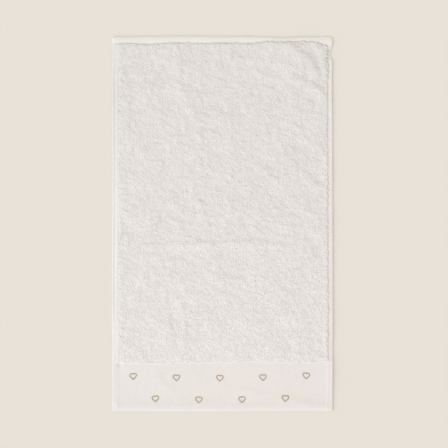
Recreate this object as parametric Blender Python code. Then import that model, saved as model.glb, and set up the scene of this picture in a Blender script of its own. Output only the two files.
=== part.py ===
"""White cotton terry hand towel, lying flat on the XY plane.

The far end is at +Y and the smooth woven border is at the near end, at -Y. The origin is
under the middle of the cloth, on the surface that it lies on. Lengths are in metres.

One solid holds the whole cloth: the looped pile field, the border, the side hems, the far
hem and the turned near end. Nine small raised rings are the heart outlines that are
embroidered on the border.
"""

import math
from collections import namedtuple

import bmesh
import bpy
from mathutils.bvhtree import BVHTree

MM = 0.001

# The cloth as it lies.
TOWEL_WIDTH = 300 * MM
TOWEL_LENGTH = 510 * MM
BORDER_DEPTH = 66 * MM

# Heights of the upper face over the flat underside.
PILE_HEIGHT = 4.2 * MM
SIDE_HEM_HEIGHT = 2.9 * MM
FAR_HEM_HEIGHT = 3.0 * MM
STITCH_GROOVE_HEIGHT = 2.1 * MM
BORDER_HEIGHT = 2.0 * MM
NEAR_FOLD_HEIGHT = 2.8 * MM

# The hems, measured in from the edge that they turn. The pile covers more of the right hem
# than of the left one, whose row of stitches shows. On the border both are bare and low.
LEFT_HEM_WIDTH = 8.8 * MM
LEFT_STITCH_INSET = 3.3 * MM
RIGHT_HEM_WIDTH = 6.0 * MM
FAR_HEM_WIDTH = 9.2 * MM
NEAR_FOLD_WIDTH = 9.0 * MM
BORDER_HEM_WIDTH = 8.8 * MM
BORDER_HEM_RISE = 0.5 * MM
HEM_FALL = 1.2 * MM

# The mesh: the widest cell, and how far a ridge rises before the underside leaves the floor.
CELL = 8.6 * MM
SETTLE = 0.4 * MM

Section = namedtuple("Section", "inset height")

# Across the cloth, in from a side edge: the turned edge, the hem's flat, the line of
# stitches that holds it down, and the first loops of the pile.
LEFT_SECTION = (
    Section(0.0 * MM, 0.45 * SIDE_HEM_HEIGHT),
    Section(0.4 * MM, 0.76 * SIDE_HEM_HEIGHT),
    Section(1.3 * MM, SIDE_HEM_HEIGHT),
    Section(LEFT_STITCH_INSET - 0.9 * MM, 0.96 * SIDE_HEM_HEIGHT),
    Section(LEFT_STITCH_INSET, STITCH_GROOVE_HEIGHT),
    Section(LEFT_STITCH_INSET + 1.3 * MM, 0.90 * SIDE_HEM_HEIGHT),
    Section(LEFT_STITCH_INSET + 3.1 * MM, 1.16 * SIDE_HEM_HEIGHT),
    Section(LEFT_HEM_WIDTH - HEM_FALL, 1.10 * SIDE_HEM_HEIGHT),
    Section(LEFT_HEM_WIDTH, SIDE_HEM_HEIGHT),
    Section(LEFT_HEM_WIDTH + 2.4 * MM, PILE_HEIGHT),
)
RIGHT_SECTION = (
    Section(0.0 * MM, 0.45 * SIDE_HEM_HEIGHT),
    Section(0.4 * MM, 0.80 * SIDE_HEM_HEIGHT),
    Section(0.8 * MM, 0.86 * SIDE_HEM_HEIGHT),
    Section(2.4 * MM, 0.92 * SIDE_HEM_HEIGHT),
    Section(RIGHT_HEM_WIDTH - HEM_FALL, 0.94 * SIDE_HEM_HEIGHT),
    Section(RIGHT_HEM_WIDTH, 0.80 * SIDE_HEM_HEIGHT),
    Section(RIGHT_HEM_WIDTH + 2.4 * MM, PILE_HEIGHT),
)

# Beside the far corner the right hem turns under, and falls away from the pile to the floor.
TUCK_START = 224 * MM
TUCK_END = 241 * MM
TUCK_FADE = 4 * MM
TUCK_SECTION = (
    Section(0.0 * MM, 0.8 * MM),
    Section(RIGHT_HEM_WIDTH, 2.4 * MM),
    Section(RIGHT_HEM_WIDTH + 2.4 * MM, PILE_HEIGHT),
)

# Along the cloth, in from the far end.
FAR_SECTION = (
    Section(0.0 * MM, 0.42 * FAR_HEM_HEIGHT),
    Section(1.5 * MM, 0.62 * FAR_HEM_HEIGHT),
    Section(3.0 * MM, 0.84 * FAR_HEM_HEIGHT),
    Section(4.6 * MM, FAR_HEM_HEIGHT),
    Section(FAR_HEM_WIDTH - HEM_FALL, 0.95 * FAR_HEM_HEIGHT),
    Section(FAR_HEM_WIDTH, STITCH_GROOVE_HEIGHT),
    Section(FAR_HEM_WIDTH + 2.6 * MM, PILE_HEIGHT),
)

# Along the cloth, in from the near end: the turned fold, the border, and the step where the
# pile begins.
NEAR_SECTION = (
    Section(0.0 * MM, 0.35 * NEAR_FOLD_HEIGHT),
    Section(0.4 * MM, 0.58 * NEAR_FOLD_HEIGHT),
    Section(2.0 * MM, 0.84 * NEAR_FOLD_HEIGHT),
    Section(5.0 * MM, 0.95 * NEAR_FOLD_HEIGHT),
    Section(NEAR_FOLD_WIDTH - 1.0 * MM, NEAR_FOLD_HEIGHT),
    Section(NEAR_FOLD_WIDTH + 9.0 * MM, BORDER_HEIGHT),
    Section(BORDER_DEPTH - 0.4 * MM, BORDER_HEIGHT),
    Section(BORDER_DEPTH + 2.6 * MM, PILE_HEIGHT),
)

Corner = namedtuple("Corner", "side end radius")

# side is -1 at -X and +1 at +X; end is -1 at the near end and +1 at the far end.
CORNERS = (
    Corner(-1, +1, 3.4 * MM),
    Corner(+1, +1, 4.2 * MM),
    Corner(-1, -1, 1.4 * MM),
    Corner(+1, -1, 1.6 * MM),
)

Pull = namedtuple("Pull", "edge middle half_length depth")

# Places where an edge is drawn in from its straight line, and how far that reaches inwards.
PULL_REACH = 26 * MM
PULLS = (
    Pull("far", +82 * MM, 30 * MM, 0.9 * MM),
    Pull("right", +182 * MM, 60 * MM, 0.5 * MM),
    Pull("right", +237 * MM, 9 * MM, 2.2 * MM),
    Pull("right", +230 * MM, 9 * MM, 2.2 * MM),
    Pull("left", +60 * MM, 70 * MM, 0.2 * MM),
    Pull("near", +110 * MM, 60 * MM, 0.5 * MM),
)

Drift = namedtuple("Drift", "line start end move")

# Places where a line across the cloth wanders along it: between which two x, and how far
# towards +Y. The line is the far hem's row of stitches or the step where the pile begins.
# Each takes the cloth beside it along, less and less with distance.
DRIFT_FADE = 16 * MM
FAR_DRIFT_FULL = 14 * MM
STEP_DRIFT_FULL = 3 * MM
DRIFT_REACH = 20 * MM
DRIFTS = (
    Drift("far_hem", -122 * MM, -86 * MM, -1.2 * MM),
    Drift("far_hem", +50 * MM, +130 * MM, +2.6 * MM),
    Drift("far_hem", +134 * MM, +170 * MM, -3.0 * MM),
    Drift("pile_step", -132 * MM, -72 * MM, -1.2 * MM),
    Drift("pile_step", +30 * MM, +46 * MM, +1.8 * MM),
    Drift("pile_step", +128 * MM, +170 * MM, +1.2 * MM),
)

Ridge = namedtuple("Ridge", "name height left_reach right_reach path")

# Soft ridges in the cloth. Each row is in millimetres: a path is the ridge's crest, (x, y),
# and the reaches are how wide the slopes are on its left and on its right, seen along it.
# The ends die away over a share of the ridge, from a share of its height.
RIDGE_END = 0.30
RIDGE_END_HEIGHT = 0.25
RIDGES = (
    Ridge("corner_wrinkle", 1.9, 8, 14, ((90, 242), (106, 229), (119, 221), (124, 211), (126, 194))),
    Ridge("corner_swell", 1.5, 18, 36, ((80, 238), (98, 225), (110, 206))),
    Ridge("corner_fold", 1.8, 8, 15, ((104, 196), (127, 187), (137, 175), (146, 150))),
    Ridge("corner_tip", 1.3, 8, 7, ((122, 246), (134, 234), (137, 220), (138, 202))),
    Ridge("far_roll", 1.2, 13, 10, ((62, 241), (90, 240), (114, 241))),
    Ridge("upper_crease", 0.7, 7, 9, ((-62, 243), (-59, 190), (-47, 163), (-32, 133), (-28, 98))),
    Ridge("centre_crease", 0.5, 7, 9, ((-42, 56), (-31, 24), (-16, -10))),
    Ridge("centre_dent", 0.9, 6, 8, ((-50, 32), (-32, 30), (-18, 25))),
    Ridge("middle_fold", 1.3, 7, 9, ((-142, -30), (-98, -30), (-30, -28), (30, -27), (108, -30))),
    Ridge("right_ripple_a", 0.8, 8, 10, ((76, 101), (117, 62), (139, 41))),
    Ridge("right_ripple_b", 0.7, 8, 9, ((90, 38), (137, -1))),
    Ridge("right_ripple_c", 0.5, 8, 9, ((38, 87), (82, 51))),
    Ridge("right_ripple_d", 0.5, 8, 8, ((99, 118), (132, 106))),
    Ridge("lower_crease", 0.8, 7, 8, ((-60, -96), (-55, -120), (-50, -150), (-48, -184))),
    Ridge("lower_side", 0.5, 7, 8, ((-76, -114), (-72, -150), (-71, -184))),
    Ridge("lower_ripple", 0.5, 7, 8, ((-50, -82), (-17, -103))),
    Ridge("lower_bump", 0.7, 7, 6, ((-134, -166), (-120, -171))),
    Ridge("border_ripple_right", 0.6, 8, 11, ((22, -225), (72, -236), (105, -241), (142, -249))),
    Ridge("border_ripple_left", 0.6, 7, 10, ((-93, -202), (-80, -217), (-56, -232))),
)

Wave = namedtuple("Wave", "height length_x length_y phase")

# The slow unevenness of washed terry between the ridges, and its share on the border.
BORDER_WAVE_SHARE = 0.35
WAVE_FADE = 3 * MM
WAVES = (
    Wave(0.16 * MM, 61 * MM, 97 * MM, 0.4),
    Wave(0.13 * MM, -47 * MM, 71 * MM, 2.1),
    Wave(0.10 * MM, 83 * MM, -53 * MM, 4.4),
)

# Where the near right edge stands a little off the floor.
EDGE_LIFT = 0.8 * MM
EDGE_LIFT_MIDDLE = -205 * MM
EDGE_LIFT_HALF_LENGTH = 40 * MM
EDGE_LIFT_REACH = 24 * MM

# The embroidered hearts.
HEART_WIDTH = 10.2 * MM
HEART_LENGTH = 9.2 * MM
HEART_PITCH = 58.8 * MM
HEART_STROKE = 1.3 * MM
HEART_RISE = 0.75 * MM
HEART_GAP = 0.3 * MM
LOBE_RADIUS = 2.5 * MM
LOBE_STEPS = 9
FLANK_STEPS = 4
HEART_BOW = 0.204
HEART_BOW_MIDDLE = -12 * MM

HeartRow = namedtuple("HeartRow", "name middle_x lowest_y tilts")

# A tilt is in degrees, one for each heart from -X to +X.
HEART_ROWS = (
    HeartRow("upper", -3.8 * MM, -209.9 * MM, (4, 2, -3, 3, -5)),
    HeartRow("lower", -2.9 * MM, -239.2 * MM, (6, -2, 2, -4)),
)

# The dome of one embroidered stroke: where across it, and how high.
STROKE_SECTION = ((-0.50, 0.00), (-0.36, 0.72), (0.00, 1.00), (0.36, 0.72), (0.50, 0.00))

Finish = namedtuple("Finish", "name color roughness")

COTTON = Finish("white_cotton", (0.84, 0.815, 0.79), 0.95)
GOLD_THREAD = Finish("gold_thread", (0.60, 0.51, 0.37), 0.50)


def clear_scene():
    """Removes what a new file starts with."""
    for thing in list(bpy.data.objects):
        bpy.data.objects.remove(thing, do_unlink=True)


def make_material(finish):
    """A Principled material for one finish."""
    material = bpy.data.materials.new(finish.name)
    material.use_nodes = True
    shader = material.node_tree.nodes["Principled BSDF"]
    shader.inputs["Base Color"].default_value = (*finish.color, 1.0)
    shader.inputs["Roughness"].default_value = finish.roughness
    shader.inputs["Metallic"].default_value = 0.0
    return material


def soft_step(value):
    """0 below 0, 1 above 1, and smooth between."""
    value = min(max(value, 0.0), 1.0)
    return value * value * (3.0 - 2.0 * value)


def soft_bump(value):
    """1 at 0, falling smoothly to 0 at -1 and at 1."""
    return soft_step(1.0 - abs(value))


def section_height(section, inset):
    """The height that a section gives at a distance in from its edge."""
    if inset >= section[-1].inset:
        return section[-1].height
    for outer, inner in zip(section, section[1:]):
        if inset <= inner.inset:
            share = (inset - outer.inset) / (inner.inset - outer.inset)
            return outer.height + share * (inner.height - outer.height)
    return section[-1].height


def ridge_height(ridge, x, y):
    """How far one ridge raises the cloth at a point."""
    lengths = [math.dist(a, b) * MM for a, b in zip(ridge.path, ridge.path[1:])]
    whole = sum(lengths)
    best = None
    passed = 0.0
    for (ax, ay), (bx, by), length in zip(ridge.path, ridge.path[1:], lengths):
        along_x, along_y = (bx - ax) * MM / length, (by - ay) * MM / length
        from_x, from_y = x - ax * MM, y - ay * MM
        run = min(max(from_x * along_x + from_y * along_y, 0.0), length)
        off = math.hypot(from_x - run * along_x, from_y - run * along_y)
        left = along_x * from_y - along_y * from_x > 0
        if best is None or off < best[0]:
            best = (off, left, passed + run)
        passed += length
    off, left, run = best
    reach = (ridge.left_reach if left else ridge.right_reach) * MM
    taper = soft_step(min(run, whole - run) / (RIDGE_END * whole) + RIDGE_END_HEIGHT)
    return ridge.height * MM * taper * soft_bump(off / reach)


def relief(x, y):
    """Ridges, slow waves and the lifted edge: what the cloth adds to its flat section."""
    ridges = sum(ridge_height(ridge, x, y) for ridge in RIDGES)
    waves = sum(
        wave.height * math.sin(math.tau * (x / wave.length_x + y / wave.length_y) + wave.phase)
        for wave in WAVES
    )
    lift = soft_bump((y - EDGE_LIFT_MIDDLE) / EDGE_LIFT_HALF_LENGTH)
    lift *= soft_step((x - TOWEL_WIDTH / 2 + EDGE_LIFT_REACH) / EDGE_LIFT_REACH)
    in_pile = soft_step((y + TOWEL_LENGTH / 2 - BORDER_DEPTH) / WAVE_FADE)
    waves *= BORDER_WAVE_SHARE + (1.0 - BORDER_WAVE_SHARE) * in_pile
    return ridges + waves + EDGE_LIFT * lift


def insets(x, y):
    """How far a point of the flat rectangle is in from its left, right, far and near edges."""
    half_width, half_length = TOWEL_WIDTH / 2, TOWEL_LENGTH / 2
    return half_width + x, half_width - x, half_length - y, half_length + y


def rounded(x, y):
    """Moves a point near a corner of the rectangle onto the corner's arc."""
    for corner in CORNERS:
        centre_x = corner.side * (TOWEL_WIDTH / 2 - corner.radius)
        centre_y = corner.end * (TOWEL_LENGTH / 2 - corner.radius)
        out_x, out_y = (x - centre_x) * corner.side, (y - centre_y) * corner.end
        if out_x > 0 and out_y > 0:
            shrink = max(out_x, out_y) / math.hypot(out_x, out_y)
            return (
                centre_x + corner.side * out_x * shrink,
                centre_y + corner.end * out_y * shrink,
            )
    return x, y


def drifted(x, y):
    """Moves a point along the cloth with a line that wanders, near that line."""
    _, _, far, near = insets(x, y)
    from_step = abs(near - BORDER_DEPTH)
    nearness = {
        "far_hem": soft_step(far / FAR_HEM_WIDTH)
        * soft_bump(max(0.0, far - FAR_DRIFT_FULL) / DRIFT_REACH),
        "pile_step": soft_bump(max(0.0, from_step - STEP_DRIFT_FULL) / DRIFT_REACH),
    }
    move = 0.0
    for drift in DRIFTS:
        within = soft_step((x - drift.start) / DRIFT_FADE + 0.5)
        within *= soft_step((drift.end - x) / DRIFT_FADE + 0.5)
        move += drift.move * within * nearness[drift.line]
    return x, y + move


def drawn_in(x, y):
    """Moves a point with the edge near it, where that edge is drawn in."""
    left, right, far, near = insets(x, y)
    edges = {
        "left": (left, y, (1, 0)),
        "right": (right, y, (-1, 0)),
        "far": (far, x, (0, -1)),
        "near": (near, x, (0, 1)),
    }
    move_x, move_y = 0.0, 0.0
    for pull in PULLS:
        inset, along, (way_x, way_y) = edges[pull.edge]
        amount = pull.depth * soft_bump((along - pull.middle) / pull.half_length)
        amount *= soft_step(1.0 - inset / PULL_REACH)
        move_x += way_x * amount
        move_y += way_y * amount
    return x + move_x, y + move_y


def placed(x, y):
    """Where a point of the flat, straight-edged rectangle lies in the real outline."""
    return drawn_in(*rounded(*drifted(x, y)))


def section_heights(x, y):
    """The heights that the four edges' sections give over a point of the flat rectangle."""
    left, right, far, near = insets(x, y)
    from_right = section_height(RIGHT_SECTION, right)
    tucked = soft_step((y - TUCK_START) / TUCK_FADE + 0.5)
    tucked *= soft_step((TUCK_END - y) / TUCK_FADE + 0.5)
    from_right += (section_height(TUCK_SECTION, right) - from_right) * tucked
    return (
        section_height(LEFT_SECTION, left),
        from_right,
        section_height(FAR_SECTION, far),
        section_height(NEAR_SECTION, near),
    )


def upper_face(x, y):
    """The height of the cloth's upper face over a point of the flat rectangle."""
    left, right, _, near = insets(x, y)
    from_left, from_right, from_far, from_near = section_heights(x, y)
    if near < BORDER_DEPTH:
        on_hem = soft_step((BORDER_HEM_WIDTH - min(left, right)) / HEM_FALL)
        from_near += BORDER_HEM_RISE * on_hem
    return min(from_left, from_right, from_far, from_near) + relief(*placed(x, y))


def lower_face(x, y):
    """The height of the underside, which lies on the floor but under the higher ridges."""
    return max(0.0, relief(*placed(x, y)) - SETTLE)


def edge_height(x, y):
    """The height of the turned edge itself, halfway up the hem."""
    return min(section_heights(x, y)) + lower_face(x, y)


def grid_lines(half, low_section, high_section):
    """Where the grid's lines run: at each line of both edge sections, and evenly between."""
    low = [-half + row.inset for row in low_section]
    high = [half - row.inset for row in reversed(high_section)]
    lines = []
    for a, b in zip((low + high), (low + high)[1:]):
        parts = max(1, round((b - a) / CELL))
        lines += [a + (b - a) * step / parts for step in range(parts)]
    return lines + [high[-1]]


def make_object(name, mesh_maker, material):
    """One named object whose mesh is filled by mesh_maker."""
    mesh = bpy.data.meshes.new(name)
    form = bmesh.new()
    mesh_maker(form)
    bmesh.ops.recalc_face_normals(form, faces=form.faces)
    form.to_mesh(mesh)
    form.free()
    mesh.materials.append(material)
    mesh.shade_smooth()
    thing = bpy.data.objects.new(name, mesh)
    bpy.context.scene.collection.objects.link(thing)
    return thing


def fill_cloth(form):
    """The whole cloth as one closed skin: an upper and a lower grid that share their rim."""
    columns = grid_lines(TOWEL_WIDTH / 2, LEFT_SECTION, RIGHT_SECTION)
    rows = grid_lines(TOWEL_LENGTH / 2, NEAR_SECTION, FAR_SECTION)
    last_column, last_row = len(columns) - 1, len(rows) - 1
    upper, lower = {}, {}
    for j, y in enumerate(rows):
        for i, x in enumerate(columns):
            place = placed(x, y)
            if i in (0, last_column) or j in (0, last_row):
                upper[i, j] = form.verts.new((*place, edge_height(x, y)))
                lower[i, j] = upper[i, j]
                continue
            upper[i, j] = form.verts.new((*place, upper_face(x, y)))
            lower[i, j] = form.verts.new((*place, lower_face(x, y)))
    for j in range(last_row):
        for i in range(last_column):
            corners = ((i, j), (i + 1, j), (i + 1, j + 1), (i, j + 1))
            form.faces.new([upper[c] for c in corners])
            form.faces.new([lower[c] for c in reversed(corners)])
    bmesh.ops.triangulate(form, faces=form.faces, quad_method="SHORT_EDGE")


def heart_outline():
    """The middle line of a heart's stroke, clockwise from the notch: two round lobes, and two
    straight flanks that touch them and meet in the point below."""
    lobe_x = (HEART_WIDTH - HEART_STROKE) / 2 - LOBE_RADIUS
    lobe_y = (HEART_LENGTH - HEART_STROKE) / 2 - LOBE_RADIUS
    point_y = -(HEART_LENGTH - HEART_STROKE) / 2
    reach = math.hypot(lobe_x, lobe_y - point_y)
    flank_turn = math.asin(LOBE_RADIUS / reach) + math.atan2(lobe_x, lobe_y - point_y)
    first_turn = math.acos(-lobe_x / LOBE_RADIUS)
    right = []
    for step in range(LOBE_STEPS):
        turn = first_turn - (first_turn + flank_turn) * step / LOBE_STEPS
        right.append(
            (lobe_x + LOBE_RADIUS * math.cos(turn), lobe_y + LOBE_RADIUS * math.sin(turn))
        )
    touch_x = lobe_x + LOBE_RADIUS * math.cos(flank_turn)
    touch_y = lobe_y - LOBE_RADIUS * math.sin(flank_turn)
    for step in range(FLANK_STEPS):
        share = step / FLANK_STEPS
        right.append((touch_x * (1 - share), touch_y + (point_y - touch_y) * share))
    left = [(-x, y) for x, y in reversed(right[1:])]
    return right + [(0.0, point_y)] + left


def mitre(before, here, after):
    """Which way, and how far for each unit, a corner of an outline moves when it is offset."""
    normals = []
    for (ax, ay), (bx, by) in ((before, here), (here, after)):
        away = math.hypot(bx - ax, by - ay)
        normals.append(((by - ay) / away, (ax - bx) / away))
    (ax, ay), (bx, by) = normals
    share = 1.0 + ax * bx + ay * by
    return (ax + bx) / share, (ay + by) / share


def heart_centres():
    """The name, centre and tilt of each heart."""
    for row in HEART_ROWS:
        count = len(row.tilts)
        for index, tilt in enumerate(row.tilts):
            x = row.middle_x + (index - (count - 1) / 2) * HEART_PITCH
            y = row.lowest_y + HEART_BOW * (x - HEART_BOW_MIDDLE) ** 2
            yield f"heart_{row.name}_{index + 1}", x, y, math.radians(tilt)


def fill_heart(form, centre_x, centre_y, tilt, height_at):
    """One raised stroke around a heart's outline, standing on the cloth below it."""
    outline = heart_outline()
    rings = []
    for index, here in enumerate(outline):
        after = outline[(index + 1) % len(outline)]
        side_x, side_y = mitre(outline[index - 1], here, after)
        ring = []
        for across, rise in STROKE_SECTION:
            u = here[0] + side_x * across * HEART_STROKE
            v = here[1] + side_y * across * HEART_STROKE
            x = centre_x + u * math.cos(tilt) - v * math.sin(tilt)
            y = centre_y + u * math.sin(tilt) + v * math.cos(tilt)
            z = height_at(x, y) + HEART_GAP + rise * HEART_RISE
            ring.append(form.verts.new((x, y, z)))
        rings.append(ring)
    for here, there in zip(rings, rings[1:] + rings[:1]):
        for corner in range(len(STROKE_SECTION)):
            following = (corner + 1) % len(STROKE_SECTION)
            form.faces.new((here[corner], here[following], there[following], there[corner]))
    bmesh.ops.triangulate(form, faces=form.faces, quad_method="SHORT_EDGE")


def surface_reader(thing):
    """A function that gives the height of an object's upper face at a point."""
    form = bmesh.new()
    form.from_mesh(thing.data)
    tree = BVHTree.FromBMesh(form)
    form.free()

    def height_at(x, y):
        return tree.ray_cast((x, y, PILE_HEIGHT * 2), (0, 0, -1))[0].z

    return height_at


def main():
    clear_scene()
    cotton = make_material(COTTON)
    gold = make_material(GOLD_THREAD)
    cloth = make_object("towel_cloth", fill_cloth, cotton)
    height_at = surface_reader(cloth)
    for name, x, y, tilt in heart_centres():
        make_object(name, lambda form: fill_heart(form, x, y, tilt, height_at), gold)


main()
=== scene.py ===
"""The looks of the white terry hand towel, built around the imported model.

The cloth is one thin sheet with its hems, border and creases. On it lie the loops of the
pile, the rows of hem stitches and the threads of the nine embroidered hearts. Lengths are in
metres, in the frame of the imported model: the far end is at +Y, the border at -Y.
"""

import math
from collections import namedtuple

import bpy
import numpy as np
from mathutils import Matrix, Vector


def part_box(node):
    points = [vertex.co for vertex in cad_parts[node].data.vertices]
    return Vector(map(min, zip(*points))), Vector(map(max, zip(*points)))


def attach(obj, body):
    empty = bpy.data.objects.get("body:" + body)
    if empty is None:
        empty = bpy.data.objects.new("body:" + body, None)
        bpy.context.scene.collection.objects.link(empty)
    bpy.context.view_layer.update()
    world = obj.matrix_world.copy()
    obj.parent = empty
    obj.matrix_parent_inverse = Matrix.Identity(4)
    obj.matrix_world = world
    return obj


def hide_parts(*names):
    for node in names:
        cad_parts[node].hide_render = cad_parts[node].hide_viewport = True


MM = 0.001
TINY = 1e-9

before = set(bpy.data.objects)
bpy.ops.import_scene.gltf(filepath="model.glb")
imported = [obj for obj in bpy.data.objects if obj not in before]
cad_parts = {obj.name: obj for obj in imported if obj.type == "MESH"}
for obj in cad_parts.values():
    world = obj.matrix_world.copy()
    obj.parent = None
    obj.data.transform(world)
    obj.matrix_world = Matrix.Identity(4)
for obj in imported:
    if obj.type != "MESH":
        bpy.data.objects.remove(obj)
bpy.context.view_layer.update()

# ---------------------------------------------------------------------------------------
# The cloth's sizes
# ---------------------------------------------------------------------------------------

TOWEL_WIDTH = 300 * MM
TOWEL_LENGTH = 510 * MM
HALF_WIDTH = TOWEL_WIDTH / 2
HALF_LENGTH = TOWEL_LENGTH / 2
BORDER_DEPTH = 66 * MM

# Heights over the floor. The loops lie on PILE_FLOOR and reach to about PILE_HEIGHT.
PILE_HEIGHT = 4.2 * MM
PILE_FLOOR = 3.7 * MM
SIDE_HEM_HEIGHT = 2.9 * MM
FAR_HEM_HEIGHT = 3.0 * MM
STITCH_GROOVE_HEIGHT = 2.1 * MM
BORDER_HEIGHT = 2.0 * MM
NEAR_FOLD_HEIGHT = 3.0 * MM
UNDERSIDE_ROUNDING = 1.2 * MM

LEFT_HEM_WIDTH = 8.8 * MM
LEFT_STITCH_INSET = 3.3 * MM
RIGHT_HEM_WIDTH = 6.0 * MM
FAR_HEM_WIDTH = 9.3 * MM
NEAR_FOLD_WIDTH = 9.0 * MM
BORDER_HEM_WIDTH = 8.8 * MM
BORDER_HEM_RISE = 0.5 * MM
BORDER_HEM_FALL = 4.0 * MM
BORDER_CURL = 0.7 * MM
BORDER_CURL_REACH = 4.5 * MM
HEM_FALL = 1.2 * MM
PILE_RISE = 3.6 * MM
PILE_FADE = 1.0 * MM

# The cloth's section in from an edge. Its corners are softened over CORNER_BLUR.
CORNER_BLUR = 0.5 * MM
BLUR_SAMPLES = (-1.0, -0.5, 0.0, 0.5, 1.0)
Section = namedtuple("Section", "inset height")

LEFT_SECTION = (
    Section(0.0, 0.45 * SIDE_HEM_HEIGHT),
    Section(0.25 * MM, 0.68 * SIDE_HEM_HEIGHT),
    Section(1.3 * MM, SIDE_HEM_HEIGHT),
    Section(LEFT_STITCH_INSET - 0.9 * MM, 0.96 * SIDE_HEM_HEIGHT),
    Section(LEFT_STITCH_INSET, STITCH_GROOVE_HEIGHT),
    Section(LEFT_STITCH_INSET + 1.5 * MM, 0.87 * SIDE_HEM_HEIGHT),
    Section(LEFT_STITCH_INSET + 3.3 * MM, 1.15 * SIDE_HEM_HEIGHT),
    Section(LEFT_HEM_WIDTH - HEM_FALL, 1.10 * SIDE_HEM_HEIGHT),
    Section(LEFT_HEM_WIDTH, 1.02 * SIDE_HEM_HEIGHT),
    Section(LEFT_HEM_WIDTH + PILE_RISE, PILE_FLOOR),
)
# The left hem has no groove near its two ends.
LEFT_PLAIN_SECTION = (
    Section(0.0, 0.42 * SIDE_HEM_HEIGHT),
    Section(0.25 * MM, 0.62 * SIDE_HEM_HEIGHT),
    Section(1.3 * MM, 0.82 * SIDE_HEM_HEIGHT),
    Section(LEFT_HEM_WIDTH, 1.28 * SIDE_HEM_HEIGHT),
    Section(LEFT_HEM_WIDTH + PILE_RISE, PILE_FLOOR),
)
LEFT_GROOVE_START = -150 * MM
LEFT_GROOVE_END = 240 * MM
LEFT_GROOVE_FADE = 45 * MM
RIGHT_SECTION = (
    Section(0.0, 0.32 * SIDE_HEM_HEIGHT),
    Section(0.4 * MM, 0.70 * SIDE_HEM_HEIGHT),
    Section(1.0 * MM, 0.90 * SIDE_HEM_HEIGHT),
    Section(1.7 * MM, SIDE_HEM_HEIGHT),
    Section(2.8 * MM, SIDE_HEM_HEIGHT),
    Section(RIGHT_HEM_WIDTH - HEM_FALL, 0.97 * SIDE_HEM_HEIGHT),
    Section(RIGHT_HEM_WIDTH, 0.97 * SIDE_HEM_HEIGHT),
    Section(RIGHT_HEM_WIDTH + PILE_RISE, PILE_FLOOR),
)
# Beside the far corner the right hem turns under, and falls away from the pile to the floor.
TUCK_SECTION = (
    Section(0.0, 0.4 * MM),
    Section(RIGHT_HEM_WIDTH, 2.0 * MM),
    Section(RIGHT_HEM_WIDTH + PILE_RISE, PILE_FLOOR),
)
TUCK_START = 224 * MM
TUCK_END = 241 * MM
TUCK_FADE = 4 * MM
FAR_SECTION = (
    Section(0.0, 0.30 * FAR_HEM_HEIGHT),
    Section(1.3 * MM, 0.57 * FAR_HEM_HEIGHT),
    Section(2.5 * MM, 0.77 * FAR_HEM_HEIGHT),
    Section(3.7 * MM, 0.91 * FAR_HEM_HEIGHT),
    Section(5.0 * MM, FAR_HEM_HEIGHT),
    Section(FAR_HEM_WIDTH - 1.8 * MM, 0.96 * FAR_HEM_HEIGHT),
    Section(FAR_HEM_WIDTH, STITCH_GROOVE_HEIGHT),
    Section(FAR_HEM_WIDTH + 2.6 * MM, PILE_FLOOR),
)
NEAR_SECTION = (
    Section(0.0, 0.35 * NEAR_FOLD_HEIGHT),
    Section(0.3 * MM, 0.50 * NEAR_FOLD_HEIGHT),
    Section(2.4 * MM, 0.54 * NEAR_FOLD_HEIGHT),
    Section(4.2 * MM, NEAR_FOLD_HEIGHT),
    Section(NEAR_FOLD_WIDTH - 1.0 * MM, NEAR_FOLD_HEIGHT),
    Section(NEAR_FOLD_WIDTH + 9.0 * MM, BORDER_HEIGHT),
    Section(BORDER_DEPTH - 0.4 * MM, BORDER_HEIGHT),
    Section(BORDER_DEPTH + 1.6 * MM, PILE_FLOOR),
)

# Towards the far end the left hem is looped as the pile is, and darker with it: partly the loops'
# own look, partly painted shade.
CREEP_START = -20 * MM
CREEP_FADE = 200 * MM

Corner = namedtuple("Corner", "side end radius")
CORNERS = (
    Corner(-1, +1, 3.4 * MM),
    Corner(+1, +1, 4.2 * MM),
    Corner(-1, -1, 1.4 * MM),
    Corner(+1, -1, 1.6 * MM),
)

# Where an edge is drawn in from its straight line, or bulges out where the depth is negative.
# The cloth moves with it up to reach from the edge.
Pull = namedtuple("Pull", "edge middle half_length depth reach")
PULLS = (
    Pull("far", +82 * MM, 30 * MM, 0.9 * MM, 26 * MM),
    Pull("far", -50 * MM, 150 * MM, -0.9 * MM, 26 * MM),
    Pull("right", +182 * MM, 60 * MM, 0.5 * MM, 26 * MM),
    Pull("right", -120 * MM, 200 * MM, -0.8 * MM, 26 * MM),
    Pull("left", +60 * MM, 70 * MM, 0.2 * MM, 26 * MM),
    Pull("left", -110 * MM, 150 * MM, -0.6 * MM, 26 * MM),
    Pull("near", -30 * MM, 150 * MM, -1.0 * MM, 26 * MM),
    Pull("right", +237 * MM, 9 * MM, 2.2 * MM, 9 * MM),
    Pull("right", +230 * MM, 9 * MM, 2.2 * MM, 9 * MM),
)

# Where the far hem's stitches and the step of the pile wander along the cloth: from start to
# end across it, by move. The cloth beside the line moves with it.
DRIFT_FADE = 16 * MM
FAR_DRIFT_FULL = 14 * MM
STEP_DRIFT_FULL = 3 * MM
DRIFT_REACH = 20 * MM
Drift = namedtuple("Drift", "line start end move")
DRIFTS = (
    Drift("far_hem", -122 * MM, -86 * MM, -1.2 * MM),
    Drift("far_hem", +50 * MM, +130 * MM, +2.7 * MM),
    Drift("far_hem", +134 * MM, +170 * MM, -3.4 * MM),
    Drift("pile_step", -132 * MM, -72 * MM, -1.2 * MM),
    Drift("pile_step", +30 * MM, +46 * MM, +1.8 * MM),
    Drift("pile_step", +128 * MM, +170 * MM, +1.2 * MM),
)

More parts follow.
